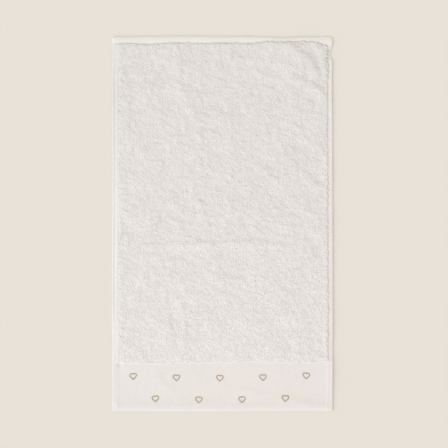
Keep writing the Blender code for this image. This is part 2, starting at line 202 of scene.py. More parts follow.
# Soft ridges, and dents where the height is negative, in millimetres: the crest's path, and
# how wide the slopes are on its left and on its right, seen along the path. Towards both ends
# they get lower, over the share RIDGE_END of the path.
RIDGE_END = 0.30
RIDGE_END_HEIGHT = 0.25
Ridge = namedtuple("Ridge", "name height left_reach right_reach path")
RIDGES = (
    Ridge(
        "corner_wrinkle", 1.9, 8, 14, ((90, 242), (106, 231), (119, 222), (125, 208), (131, 188))
    ),
    Ridge("corner_swell", 1.9, 18, 33, ((80, 238), (98, 225), (110, 206))),
    Ridge("corner_fold", 2.0, 8, 12, ((84, 203), (98, 198), (117, 190), (131, 182), (141, 165))),
    Ridge("corner_tip", 1.3, 8, 7, ((122, 246), (134, 234), (137, 220), (138, 202))),
    Ridge("far_roll", 1.2, 13, 10, ((62, 241), (90, 240), (114, 241))),
    Ridge("upper_crease", 0.7, 7, 9, ((-62, 243), (-59, 190), (-47, 163), (-32, 133), (-28, 98))),
    Ridge("centre_crease", 0.5, 7, 9, ((-42, 56), (-31, 24), (-16, -10))),
    Ridge("centre_dent", 0.9, 6, 8, ((-50, 32), (-32, 30), (-18, 25))),
    Ridge("middle_fold", 1.3, 7, 9, ((-142, -30), (-98, -30), (-30, -28), (30, -27), (108, -30))),
    Ridge("right_ripple_a", 0.8, 8, 10, ((76, 101), (117, 62), (139, 41))),
    Ridge("right_ripple_b", 0.7, 8, 9, ((90, 38), (137, -1))),
    Ridge("right_ripple_c", 0.5, 8, 9, ((38, 87), (82, 51))),
    Ridge("right_ripple_d", 0.5, 8, 8, ((99, 118), (132, 106))),
    Ridge("lower_crease", 0.65, 7, 8, ((-57, -100), (-54, -124), (-53, -150), (-52, -182))),
    Ridge("lower_side", 0.5, 7, 8, ((-76, -114), (-72, -150), (-71, -184))),
    Ridge("lower_ripple", 0.5, 7, 8, ((-50, -82), (-17, -103))),
    Ridge("lower_bump", 0.7, 7, 6, ((-134, -166), (-120, -171))),
    Ridge("hem_pucker", -1.5, 3, 4, ((-143, -190), (-137, -192))),
    Ridge("border_ripple_right", 0.6, 8, 11, ((22, -225), (72, -236), (105, -241), (142, -249))),
    Ridge("border_ripple_left", 0.6, 7, 10, ((-93, -202), (-80, -217), (-56, -232))),
)

# Slow waves in the whole cloth, weaker on the border.
BORDER_WAVE_SHARE = 0.35
WAVE_FADE = 3 * MM
Wave = namedtuple("Wave", "height length_x length_y phase")
WAVES = (
    Wave(0.16 * MM, 61 * MM, 97 * MM, 0.4),
    Wave(0.13 * MM, -47 * MM, 71 * MM, 2.1),
    Wave(0.10 * MM, 83 * MM, -53 * MM, 4.4),
)

# The small lumps that the loops lie in, and the slight unevenness of the whole cloth.
Lump = namedtuple("Lump", "height length_x length_y seed")
LUMPS = (
    Lump(0.54 * MM, 5.2 * MM, 3.8 * MM, 11),
    Lump(0.40 * MM, 10.0 * MM, 6.5 * MM, 12),
    Lump(0.45 * MM, 21.0 * MM, 13.0 * MM, 13),
)
CLOTH_LUMPS = (
    Lump(0.05 * MM, 4.5 * MM, 4.5 * MM, 31),
    Lump(0.10 * MM, 11 * MM, 11 * MM, 32),
)
LATTICE_SIZE = 251

# Where the right edge lifts off the floor, and how far the cloth settles under a ridge.
EDGE_LIFT = 0.8 * MM
EDGE_LIFT_MIDDLE = -205 * MM
EDGE_LIFT_HALF_LENGTH = 40 * MM
EDGE_LIFT_REACH = 24 * MM
SETTLE = 0.4 * MM

# ---------------------------------------------------------------------------------------
# The cloth's shape: numpy arrays of points in the flat rectangle, and where they lie
# ---------------------------------------------------------------------------------------


def soft_step(value):
    """0 below 0, 1 above 1, and smooth between."""
    value = np.clip(value, 0.0, 1.0)
    return value * value * (3.0 - 2.0 * value)


def soft_bump(value):
    """1 at 0, falling smoothly to 0 at -1 and at 1."""
    return soft_step(1.0 - np.abs(value))


def between(value, start, end, fade):
    """1 from start to end, and a smooth fade to 0 round both."""
    return soft_step((value - start) / fade + 0.5) * soft_step((end - value) / fade + 0.5)


def lump_height(lump, x, y):
    """Smooth noise between -height and height, with features of the lump's two lengths."""
    lattice = np.random.default_rng(lump.seed).uniform(-1.0, 1.0, (LATTICE_SIZE, LATTICE_SIZE))
    u, v = x / lump.length_x + LATTICE_SIZE, y / lump.length_y + LATTICE_SIZE
    i, j = np.floor(u).astype(int), np.floor(v).astype(int)
    share_u, share_v = soft_step(u - i), soft_step(v - j)
    i, j = i % LATTICE_SIZE, j % LATTICE_SIZE
    after_i, after_j = (i + 1) % LATTICE_SIZE, (j + 1) % LATTICE_SIZE
    low = lattice[i, j] * (1 - share_u) + lattice[after_i, j] * share_u
    high = lattice[i, after_j] * (1 - share_u) + lattice[after_i, after_j] * share_u
    return lump.height * (low * (1 - share_v) + high * share_v)


def section_height(section, inset):
    """The height that a section gives at a distance in from its edge, its corners softened."""
    insets_of, heights = zip(*section)
    blur = np.clip(inset, 0.0, CORNER_BLUR)
    total = sum(np.interp(inset + share * blur, insets_of, heights) for share in BLUR_SAMPLES)
    return total / len(BLUR_SAMPLES)


def ridge_height(ridge, x, y):
    """How far one ridge raises the cloth."""
    lengths = [math.dist(a, b) * MM for a, b in zip(ridge.path, ridge.path[1:])]
    whole = sum(lengths)
    best_off = np.full(np.shape(x), np.inf)
    best_left = np.zeros(np.shape(x), bool)
    best_run = np.zeros(np.shape(x))
    passed = 0.0
    for (ax, ay), (bx, by), length in zip(ridge.path, ridge.path[1:], lengths):
        along_x, along_y = (bx - ax) * MM / length, (by - ay) * MM / length
        from_x, from_y = x - ax * MM, y - ay * MM
        run = np.clip(from_x * along_x + from_y * along_y, 0.0, length)
        off = np.hypot(from_x - run * along_x, from_y - run * along_y)
        left = along_x * from_y - along_y * from_x > 0
        nearer = off < best_off
        best_off = np.where(nearer, off, best_off)
        best_left = np.where(nearer, left, best_left)
        best_run = np.where(nearer, passed + run, best_run)
        passed += length
    reach = np.where(best_left, ridge.left_reach, ridge.right_reach) * MM
    end = np.minimum(best_run, whole - best_run) / (RIDGE_END * whole)
    return ridge.height * MM * soft_step(end + RIDGE_END_HEIGHT) * soft_bump(best_off / reach)


def relief(x, y):
    """Ridges, slow waves and the lifted edge, at points of the cloth as it lies."""
    ridges = sum(ridge_height(ridge, x, y) for ridge in RIDGES)
    waves = sum(
        wave.height * np.sin(math.tau * (x / wave.length_x + y / wave.length_y) + wave.phase)
        for wave in WAVES
    )
    lift = soft_bump((y - EDGE_LIFT_MIDDLE) / EDGE_LIFT_HALF_LENGTH)
    lift = lift * soft_step((x - HALF_WIDTH + EDGE_LIFT_REACH) / EDGE_LIFT_REACH)
    in_pile = soft_step((y + HALF_LENGTH - BORDER_DEPTH) / WAVE_FADE)
    waves = waves * (BORDER_WAVE_SHARE + (1.0 - BORDER_WAVE_SHARE) * in_pile)
    return ridges + waves + EDGE_LIFT * lift


def insets(x, y):
    """How far points of the flat rectangle are in from its left, right, far and near edges."""
    return HALF_WIDTH + x, HALF_WIDTH - x, HALF_LENGTH - y, HALF_LENGTH + y


def rounded(x, y):
    """Moves points near the rectangle's corners onto the corners' arcs."""
    for corner in CORNERS:
        centre_x = corner.side * (HALF_WIDTH - corner.radius)
        centre_y = corner.end * (HALF_LENGTH - corner.radius)
        out_x, out_y = (x - centre_x) * corner.side, (y - centre_y) * corner.end
        here = (out_x > 0) & (out_y > 0)
        shrink = np.maximum(out_x, out_y) / np.maximum(np.hypot(out_x, out_y), TINY)
        x = np.where(here, centre_x + corner.side * out_x * shrink, x)
        y = np.where(here, centre_y + corner.end * out_y * shrink, y)
    return x, y


def drifted(x, y):
    """Moves points along the cloth with a line that wanders, near that line."""
    _, _, far, near = insets(x, y)
    from_step = np.abs(near - BORDER_DEPTH)
    nearness = {
        "far_hem": soft_step(far / FAR_HEM_WIDTH)
        * soft_bump(np.maximum(0.0, far - FAR_DRIFT_FULL) / DRIFT_REACH),
        "pile_step": soft_bump(np.maximum(0.0, from_step - STEP_DRIFT_FULL) / DRIFT_REACH),
    }
    move = 0.0
    for drift in DRIFTS:
        within = between(x, drift.start, drift.end, DRIFT_FADE)
        move = move + drift.move * within * nearness[drift.line]
    return x, y + move


def drawn_in(x, y):
    """Moves points with the edge near them, where that edge is drawn in."""
    left, right, far, near = insets(x, y)
    edges = {
        "left": (left, y, (1, 0)),
        "right": (right, y, (-1, 0)),
        "far": (far, x, (0, -1)),
        "near": (near, x, (0, 1)),
    }
    move_x, move_y = 0.0, 0.0
    for pull in PULLS:
        inset, along, (way_x, way_y) = edges[pull.edge]
        amount = pull.depth * soft_bump((along - pull.middle) / pull.half_length)
        amount = amount * soft_step(1.0 - inset / pull.reach)
        move_x = move_x + way_x * amount
        move_y = move_y + way_y * amount
    return x + move_x, y + move_y


def placed(x, y):
    """Where points of the flat, straight-edged rectangle lie in the real outline."""
    return drawn_in(*rounded(*drifted(x, y)))


def left_section(left, y):
    """The left hem's height, with its stitched groove but near its two ends."""
    grooved = section_height(LEFT_SECTION, left)
    plain = section_height(LEFT_PLAIN_SECTION, left)
    stitched = soft_step((y - LEFT_GROOVE_START) / LEFT_GROOVE_FADE)
    stitched = stitched * soft_step((LEFT_GROOVE_END - y) / LEFT_GROOVE_FADE)
    return plain + (grooved - plain) * stitched


def right_section(right, y):
    """The right hem's height, with the place where it turns under."""
    height = section_height(RIGHT_SECTION, right)
    tucked = between(y, TUCK_START, TUCK_END, TUCK_FADE)
    return height + (section_height(TUCK_SECTION, right) - height) * tucked


def near_section(left, right, near):
    """The height in from the near end: the turned fold, the border and the pile's step."""
    on_hem = soft_step((BORDER_HEM_WIDTH - np.minimum(left, right)) / BORDER_HEM_FALL + 0.5)
    curl = soft_step(1.0 - right / BORDER_CURL_REACH)
    rise = BORDER_HEM_RISE * on_hem + BORDER_CURL * curl
    return section_height(NEAR_SECTION, near) + np.where(near < BORDER_DEPTH, rise, 0.0)


def sheet_section(x, y):
    """The sheet's height over its own underside."""
    left, right, far, near = insets(x, y)
    return np.minimum.reduce(
        [
            left_section(left, y),
            right_section(right, y),
            section_height(FAR_SECTION, far),
            near_section(left, right, near),
        ]
    )


def pile_share(x, y):
    """1 where the flat rectangle has pile, 0 on its hems and border."""
    left, right, far, near = insets(x, y)
    share = soft_step((near - BORDER_DEPTH) / PILE_FADE - 1.0)
    share = share * soft_step((far - FAR_HEM_WIDTH) / PILE_FADE)
    share = share * soft_step((left - LEFT_HEM_WIDTH) / PILE_FADE)
    return share * soft_step((right - RIGHT_HEM_WIDTH) / PILE_FADE)


def looped_share(x, y):
    """1 where the cloth's own surface is looped, 0 where it is woven smooth."""
    left, _, far, _ = insets(x, y)
    # where the loops creep onto the left hem they also darken it, partly as painted shade
    creep = soft_step((y - CREEP_START) / CREEP_FADE)
    creep = creep * soft_step((far - FAR_HEM_WIDTH) / HEM_FALL)
    creep = creep * soft_step((LEFT_HEM_WIDTH - left) / HEM_FALL + 1.0)
    return np.maximum(pile_share(x, y), creep)


def lumps(x, y):
    """How the pile rises and falls in small lumps, at points of the cloth as it lies."""
    return sum(lump_height(lump, x, y) for lump in LUMPS)


def sheet_top(x, y):
    """The height of the sheet's upper face over points of the flat rectangle."""
    place_x, place_y = placed(x, y)
    small = sum(lump_height(lump, place_x, place_y) for lump in CLOTH_LUMPS)
    small = small + pile_share(x, y) * lumps(place_x, place_y)
    return sheet_section(x, y) + relief(place_x, place_y) + small


def sheet_bottom(x, y):
    """The height of the underside, on the floor but under the higher ridges."""
    return np.maximum(0.0, relief(*placed(x, y)) - SETTLE)


# ---------------------------------------------------------------------------------------
# Making pieces
# ---------------------------------------------------------------------------------------


def make_piece(name, points, face_groups, material, tones, bake_map):
    """One piece from arrays: its points, its faces in groups of one size, a tone for each
    point, and for each corner of a face its place in the baked picture."""
    corners = np.concatenate([group.ravel() for group in face_groups])
    sizes = np.concatenate([np.full(len(group), group.shape[1]) for group in face_groups])
    starts = np.concatenate([[0], np.cumsum(sizes)[:-1]])
    mesh = bpy.data.meshes.new(name)
    mesh.vertices.add(len(points))
    mesh.vertices.foreach_set("co", np.asarray(points, np.float32).ravel())
    mesh.loops.add(len(corners))
    mesh.loops.foreach_set("vertex_index", corners.astype(np.int32))
    mesh.polygons.add(len(sizes))
    mesh.polygons.foreach_set("loop_start", starts.astype(np.int32))
    mesh.update(calc_edges=True)
    mesh.validate()
    mesh.shade_smooth()
    attribute = mesh.attributes.new("tone", "FLOAT", "POINT")
    attribute.data.foreach_set("value", np.asarray(tones, np.float32))
    layer = mesh.uv_layers.new(name="OFBake")
    layer.data.foreach_set("uv", np.asarray(bake_map, np.float32).ravel())
    mesh.materials.append(material)
    piece = bpy.data.objects.new(name, mesh)
    bpy.context.scene.collection.objects.link(piece)
    return piece


def circle(sides):
    """The section of a round tube: points on a circle, each across and up, from the top."""
    turns = math.pi / 2 + math.tau * np.arange(sides) / sides
    return np.stack([np.cos(turns), np.sin(turns)], axis=-1)


def tubes(centres, radii, across, section):
    """Points and faces of many short tubes. centres is (tubes, rings, 3), radii is
    (tubes, rings), and across is a direction for each tube, off the plane that it bends in."""
    sides = len(section)
    count, rings, _ = centres.shape
    along = np.gradient(centres, axis=1)
    along /= np.linalg.norm(along, axis=2, keepdims=True)
    across = np.repeat(across[:, None, :], rings, axis=1)
    across = across - along * np.sum(across * along, axis=2, keepdims=True)
    across /= np.linalg.norm(across, axis=2, keepdims=True)
    up = np.cross(along, across)
    spread = across[:, :, None, :] * section[:, 0, None] + up[:, :, None, :] * section[:, 1, None]
    points = centres[:, :, None, :] + spread * radii[:, :, None, None]
    ring, side = np.meshgrid(np.arange(rings - 1), np.arange(sides), indexing="ij")
    ring, side = ring.ravel(), side.ravel()
    after = (side + 1) % sides
    walls = np.stack(
        [
            ring * sides + side,
            ring * sides + after,
            (ring + 1) * sides + after,
            (ring + 1) * sides + side,
        ],
        axis=1,
    )
    ends = np.stack([np.arange(sides)[::-1], (rings - 1) * sides + np.arange(sides)])
    first = np.arange(count)[:, None, None] * rings * sides
    all_walls = (first + walls[None]).reshape(-1, 4)
    all_ends = (first + ends[None]).reshape(-1, sides)
    return points.reshape(-1, 3), all_walls, all_ends


# A tube's cell of the baked picture: its walls below, the discs of its two ends above them.
CELL_MARGIN = 0.06
WALLS_TOP = 0.8
DISC_RADIUS = 0.08
DISC_CENTRES = ((0.2, 0.9), (0.6, 0.9))


def tube_bake_map(count, rings, sides):
    """A cell of the baked picture for each tube, with its walls and its two ends laid out."""
    across_cells = math.ceil(math.sqrt(count))
    ring, side = np.meshgrid(np.arange(rings - 1), np.arange(sides), indexing="ij")
    u = np.stack([side, side + 1, side + 1, side], axis=-1).reshape(-1, 4) / sides
    v = np.stack([ring, ring, ring + 1, ring + 1], axis=-1).reshape(-1, 4) / (rings - 1)
    walls = np.stack([u, v * WALLS_TOP], axis=-1)
    turns = math.tau * np.arange(sides) / sides
    disc = np.stack([np.cos(turns), np.sin(turns)], axis=-1) * DISC_RADIUS
    ends = np.stack([disc + centre for centre in DISC_CENTRES])
    cell = np.arange(count)
    corner = np.stack([cell % across_cells, cell // across_cells], axis=-1)[:, None, None, :]
    shrink = 1.0 - 2.0 * CELL_MARGIN
    walls = (corner + CELL_MARGIN + walls[None] * shrink) / across_cells
    ends = (corner + CELL_MARGIN + ends[None] * shrink) / across_cells
    return np.concatenate([walls.reshape(-1, 2), ends.reshape(-1, 2)])


def tube_piece(name, centres, radii, across, section, material, tones):
    """One piece of many short tubes, with one tone for each tube."""
    count, rings, _ = centres.shape
    sides = len(section)
    points, walls, ends = tubes(centres, radii, across, section)
    tones = np.repeat(np.clip(tones, 0.0, 1.0), rings * sides)
    bake_map = tube_bake_map(count, rings, sides)
    return make_piece(name, points, [walls, ends], material, tones, bake_map)


# ---------------------------------------------------------------------------------------
# Materials
# ---------------------------------------------------------------------------------------


def new_material(name, color, values):
    """A Principled material with a colour and values for its shader's other inputs."""
    material = bpy.data.materials.new(name)
    material.use_nodes = True
    shader = material.node_tree.nodes["Principled BSDF"]
    shader.inputs["Base Color"].default_value = (*color, 1.0)
    for key, value in values.items():
        shader.inputs[key].default_value = value
    return material, material.node_tree, shader


def add_node(tree, kind, inputs, **settings):
    """One node with its settings. Each input takes another node's output, or a value."""
    node = tree.nodes.new(kind)
    for key, value in settings.items():
        setattr(node, key, value)
    for key, value in inputs.items():
        if isinstance(value, bpy.types.NodeSocket):
            tree.links.new(value, node.inputs[key])
        else:
            node.inputs[key].default_value = value
    return node


def tone_value(tree):
    """The output that gives a point's tone."""
    return add_node(tree, "ShaderNodeAttribute", {}, attribute_name="tone").outputs["Fac"]


def cloth_position(tree):
    """The output that gives the point's place on the piece, in metres."""
    return add_node(tree, "ShaderNodeTexCoord", {}).outputs["Object"]


def noise(tree, position, scale, detail):
    """The output of a noise with its features 1 / scale metres across."""
    inputs = {"Vector": position, "Scale": scale, "Detail": detail}
    return add_node(tree, "ShaderNodeTexNoise", inputs).outputs["Fac"]


def math_node(tree, operation, first, second):
    """The output of one sum on two outputs or numbers."""
    return add_node(tree, "ShaderNodeMath", {0: first, 1: second}, operation=operation).outputs[0]


def blended_color(tree, share, low, high):
    """The output of a ramp from one colour to another."""
    ramp = add_node(tree, "ShaderNodeValToRGB", {"Fac": share})
    ramp.color_ramp.elements[0].color = (*low, 1.0)
    ramp.color_ramp.elements[1].color = (*high, 1.0)
    return ramp.outputs["Color"]


def mixed(tree, data_type, share, low, high, **settings):
    """The output of a mix of two outputs: the low one at share 0, the high one at 1."""
    inputs = {"Factor": share, "A": low, "B": high}
    node = add_node(tree, "ShaderNodeMix", inputs, data_type=data_type, **settings)
    return node.outputs["Result"]


# Each pair goes from a low to a high tone, or on the sheet from one cloud to the next. The
# looped ground goes from PILE_COLOR_LOW to CREEP_COLOR_HIGH.
PILE_COLOR_LOW = (0.768, 0.753, 0.753)
PILE_COLOR_HIGH = (0.867, 0.85, 0.852)
SHEET_COLOR_LOW = (0.877, 0.875, 0.868)
SHEET_COLOR_HIGH = (0.922, 0.925, 0.918)
STITCH_COLOR = (0.858, 0.84, 0.832)
# CREEP_COLOR_HIGH is darker than the woven sheet; on the left hem's far part that darkening is
# partly painted shade.
CREEP_COLOR_HIGH = (0.812, 0.80, 0.80)
GOLD_COLOR_LOW = (0.52, 0.44, 0.31)
GOLD_COLOR_HIGH = (0.68, 0.58, 0.42)
# The sheet's colour is multiplied by a tint. The share of CORNER_TINT in it is TINT_START in
# the middle of the towel, and grows by TINT_WAY in a metre.
NO_TINT = (1.0, 1.0, 1.0)
CORNER_TINT = (0.985, 0.937, 0.95)
TINT_WAY = (2.0, -1.6, 0.0)
TINT_START = 0.40

# Features in a metre of the cloth, and how strong they are in its bump.
CLOUDS_PER_METRE = 140.0
YARNS_PER_METRE = 520.0
LOOPS_PER_METRE = 620.0
STREAKS_PER_METRE = 300.0
STREAK_STRETCH = (1.0, 0.3, 1.0)
STREAK_SHARE = 1.6
LOOP_SHARE = -1.6
BUMP_STRENGTH = 0.5
BUMP_DISTANCE = 0.35 * MM


def pile_material():
    """Soft uncut cotton loops: each loop has its own tone, which also carries painted light and
    shade.
    """
    values = {"Roughness": 0.95, "Specular IOR Level": 0.1}
    material, tree, shader = new_material("terry_pile", PILE_COLOR_HIGH, values)
    color = blended_color(tree, tone_value(tree), PILE_COLOR_LOW, PILE_COLOR_HIGH)
    tree.links.new(color, shader.inputs["Base Color"])
    return material


def slow_share(tree):
    """A share that grows slowly from the cloth's far left to its near right."""
    inputs = {0: cloth_position(tree), 1: TINT_WAY}
    along = add_node(tree, "ShaderNodeVectorMath", inputs, operation="DOT_PRODUCT")
    return math_node(tree, "ADD", along.outputs["Value"], TINT_START)


def weave_height(tree):
    """A plain weave of fine yarns, as a height."""
    yarns = []
    for direction in ("X", "Y"):
        inputs = {
            "Vector": cloth_position(tree),
            "Scale": YARNS_PER_METRE,
            "Distortion": 1.2,
            "Detail": 1.0,
            "Detail Scale": 1.0,
        }
        settings = {"wave_type": "BANDS", "bands_direction": direction}
        yarns.append(add_node(tree, "ShaderNodeTexWave", inputs, **settings).outputs["Fac"])
    return math_node(tree, "MULTIPLY", *yarns)


def streak_height(tree):
    """The slight unevenness of the yarns, drawn out along the towel, as a height."""
    inputs = {"Vector": cloth_position(tree), "Scale": STREAK_STRETCH}
    stretched = add_node(tree, "ShaderNodeMapping", inputs).outputs["Vector"]
    streaks = noise(tree, stretched, STREAKS_PER_METRE, detail=2.0)
    return math_node(tree, "MULTIPLY", streaks, STREAK_SHARE)


def loop_height(tree):
    """The fine loops between the larger ones, as a height."""
    inputs = {"Vector": cloth_position(tree), "Scale": LOOPS_PER_METRE, "Randomness": 1.0}
    loops = add_node(tree, "ShaderNodeTexVoronoi", inputs)
    return math_node(tree, "MULTIPLY", loops.outputs["Distance"], LOOP_SHARE)


def sheet_color(tree, looped):
    """The sheet's colour: a little cloudy, darker where it is looped (on the left hem's far part
    partly painted shade), and slowly tinted.
    """
    cloudy = noise(tree, cloth_position(tree), CLOUDS_PER_METRE, detail=4.0)
    woven_color = blended_color(tree, cloudy, SHEET_COLOR_LOW, SHEET_COLOR_HIGH)
    looped_color = blended_color(tree, cloudy, PILE_COLOR_LOW, CREEP_COLOR_HIGH)
    color = mixed(tree, "RGBA", looped, woven_color, looped_color)
    tint = blended_color(tree, slow_share(tree), NO_TINT, CORNER_TINT)
    return mixed(tree, "RGBA", 1.0, color, tint, blend_type="MULTIPLY")


def sheet_material():
    """The cloth's own surface: woven smooth, or finely looped where its tone is 1."""
    values = {
        "Roughness": 0.9,
        "Sheen Weight": 0.15,
        "Sheen Roughness": 0.5,
        "Specular IOR Level": 0.3,
    }
    material, tree, shader = new_material("woven_cotton", SHEET_COLOR_HIGH, values)
    looped = tone_value(tree)
    tree.links.new(sheet_color(tree, looped), shader.inputs["Base Color"])
    woven_height = math_node(tree, "ADD", weave_height(tree), streak_height(tree))
    inputs = {
        "Strength": BUMP_STRENGTH,
        "Distance": BUMP_DISTANCE,
        "Height": mixed(tree, "FLOAT", looped, woven_height, loop_height(tree)),
    }
    bump = add_node(tree, "ShaderNodeBump", inputs)
    tree.links.new(bump.outputs["Normal"], shader.inputs["Normal"])
    return material


def thread_material(name, low, high, values):
    """Sewing thread whose tone changes a little from stitch to stitch."""
    material, tree, shader = new_material(name, high, values)
    color = blended_color(tree, tone_value(tree), low, high)
    tree.links.new(color, shader.inputs["Base Color"])
    return material


# ---------------------------------------------------------------------------------------
# The sheet
# ---------------------------------------------------------------------------------------

# The sheet's grid: bands of cells of one size, each up to its stop. The cells are small on the
# hems and at the step of the pile.
EDGE_CELL = 0.5 * MM
HEM_CELL = 0.8 * MM
BODY_CELL = 2.0 * MM
BORDER_CELL = 2.6 * MM
GridBand = namedtuple("GridBand", "stop cell")
COLUMN_BANDS = (
    GridBand(3 * MM, EDGE_CELL),
    GridBand(13 * MM, HEM_CELL),
    GridBand(TOWEL_WIDTH - 11 * MM, BODY_CELL),
    GridBand(TOWEL_WIDTH - 3 * MM, HEM_CELL),
    GridBand(TOWEL_WIDTH, EDGE_CELL),
)
ROW_BANDS = (
    GridBand(4 * MM, EDGE_CELL),
    GridBand(13 * MM, HEM_CELL),
    GridBand(BORDER_DEPTH - 2 * MM, BORDER_CELL),
    GridBand(BORDER_DEPTH + 6 * MM, HEM_CELL),
    GridBand(TOWEL_LENGTH - 15 * MM, BODY_CELL),
    GridBand(TOWEL_LENGTH - 4 * MM, HEM_CELL),
    GridBand(TOWEL_LENGTH, EDGE_CELL),
)
# In the baked picture the two faces lie side by side, each narrowed to fit.
FACE_MARGIN = 0.01
FACE_NARROWING = 0.8
LOWER_FACE_SHIFT = (0.5, 0.0)


def grid_lines(bands):
    """Where the grid's lines are, from one edge of the cloth at 0 to the other."""
    lines = []
    start = 0.0
    for band in bands:
        count = round((band.stop - start) / band.cell)
        lines.extend(np.linspace(start, band.stop, count, endpoint=False))
        start = band.stop
    return np.array([*lines, start])


def grid_cells(grid):
    """The four corners of each cell of a grid of point numbers."""
    corners = [grid[:-1, :-1], grid[:-1, 1:], grid[1:, 1:], grid[1:, :-1]]
    return np.stack(corners, axis=-1).reshape(-1, 4)


def build_sheet(material):
    """The cloth itself: an upper and a lower face that share the points of their rim."""
    x, y = np.meshgrid(grid_lines(COLUMN_BANDS) - HALF_WIDTH, grid_lines(ROW_BANDS) - HALF_LENGTH)
    inset = np.minimum.reduce(insets(x, y))
    rim = inset < TINY
    place_x, place_y = placed(x, y)
    low = sheet_bottom(x, y)
    half_edge = 0.5 * np.minimum(sheet_section(x, y), SIDE_HEM_HEIGHT)
    turn = np.clip(inset / UNDERSIDE_ROUNDING, 0.0, 1.0)
    under = low + half_edge * (1.0 - np.sqrt(1.0 - (1.0 - turn) ** 2))
    upper = np.where(rim, low + half_edge, sheet_top(x, y))
    tops = np.stack([place_x, place_y, upper], axis=-1).reshape(-1, 3)
    bottoms = np.stack([place_x, place_y, under], axis=-1).reshape(-1, 3)
    inner = ~rim.ravel()
    points = np.concatenate([tops, bottoms[inner]])
    upper_index = np.arange(x.size)
    lower_index = np.where(inner, x.size + np.cumsum(inner) - 1, upper_index)
    upper_cells = grid_cells(upper_index.reshape(x.shape))
    lower_cells = grid_cells(lower_index.reshape(x.shape))[:, ::-1]
    looped = looped_share(x, y).ravel()
    tones = np.concatenate([looped, looped[inner]])
    shrink = 1 - 2 * FACE_MARGIN
    u = FACE_MARGIN + (x + HALF_WIDTH) / TOWEL_LENGTH * shrink * FACE_NARROWING
    v = FACE_MARGIN + (y + HALF_LENGTH) / TOWEL_LENGTH * shrink
    flat_map = np.stack([u, v], axis=-1).reshape(-1, 2)
    upper_map = flat_map[upper_cells.ravel()]
    lower_map = flat_map[upper_cells[:, ::-1].ravel()] + LOWER_FACE_SHIFT
    bake_map = np.concatenate([upper_map, lower_map])
    faces = np.concatenate([upper_cells, lower_cells])
    return make_piece("towel_sheet", points, [faces], material, tones, bake_map)


# ---------------------------------------------------------------------------------------
# The pile
# ---------------------------------------------------------------------------------------

PILE_SEED = 7
LOOP_PITCH = 2.8 * MM
LOOP_SCATTER = 0.42 * LOOP_PITCH
LOOP_EDGE = 2.0 * MM
FIELD_START = 1.3 * MM
PILE_BANDS = 5
LOOP_SPAN_LOW = 5.0 * MM
LOOP_SPAN_HIGH = 8.0 * MM
YARN_RADIUS = 1.5 * MM
YARN_UNEVENNESS = 0.14
# A pressed loop's section, across and up, in yarn radii.
YARN_SECTION = np.array([(-0.45, 0.18), (-1.0, -0.28), (1.0, -0.28), (0.45, 0.18)])
# Along a loop: where each ring is, from foot to foot, how high, and how thick the yarn is. Each
# loop sways to a side and curls by its own amount.
LOOP_ALONG = np.array([-0.50, -0.36, 0.0, 0.36, 0.50])
LOOP_RISE = np.array([-0.60, -0.15, 0.0, -0.15, -0.60]) * MM
LOOP_THICKNESS = np.array([0.80, 1.0, 1.1, 1.0, 0.80])
LOOP_SWAY = np.array([0.0, 0.6, 1.0, 0.6, 0.0])
LOOP_CURL = np.array([0.0, -1.0, 0.0, 1.0, 0.0])
SWAY_SPREAD = 0.45 * MM
CURL_SPREAD = 0.22 * MM
RISE_SPREAD = 0.06 * MM
# A loop's tone: by chance; lighter on a lump and darker in the hollows between lumps, as painted
# light and shade; and darker towards the far end and the right, as painted shade away from the
# key light.
TONE_MIDDLE = 0.5
TONE_SPREAD = 0.10
PAINTED_LIGHT_ON_LUMP = 0.18
PAINTED_SHADE_TO_FAR_END = -0.36
PAINTED_SHADE_TO_RIGHT = -0.06


def loop_roots(random):
    """Where the loops stand: rows that are a little out of line, in the flat rectangle."""
    columns = np.arange(
        -HALF_WIDTH + LEFT_HEM_WIDTH + LOOP_PITCH / 2,
        HALF_WIDTH - RIGHT_HEM_WIDTH - LOOP_PITCH,
        LOOP_PITCH,
    )
    rows = np.arange(
        -HALF_LENGTH + BORDER_DEPTH + LOOP_EDGE,
        HALF_LENGTH - FAR_HEM_WIDTH - LOOP_PITCH / 2,
        LOOP_PITCH,
    )
    x, y = np.meshgrid(columns, rows)
    x = x + (np.arange(len(rows)) % 2)[:, None] * LOOP_PITCH / 2
    x = x + random.uniform(-LOOP_SCATTER, LOOP_SCATTER, x.shape)
    y = y + random.uniform(-LOOP_SCATTER, LOOP_SCATTER, y.shape)
    x = np.clip(x, columns[0], columns[-1] + LOOP_PITCH / 2)
    y = np.clip(y, rows[0], rows[-1])
    return x.ravel(), y.ravel()


def kept_in_field(x, y, reach_x, reach_y):
    """Moves loops that would lie over a hem or the border back into the pile's field."""
    margin = YARN_RADIUS / 2
    over_x, over_y = np.abs(reach_x) + margin, np.abs(reach_y) + margin
    x = np.maximum(x, -HALF_WIDTH + LEFT_HEM_WIDTH + over_x)
    x = np.minimum(x, HALF_WIDTH - RIGHT_HEM_WIDTH - over_x)
    y = np.maximum(y, -HALF_LENGTH + BORDER_DEPTH + over_y + FIELD_START)
    y = np.minimum(y, HALF_LENGTH - FAR_HEM_WIDTH - over_y)
    return x, y


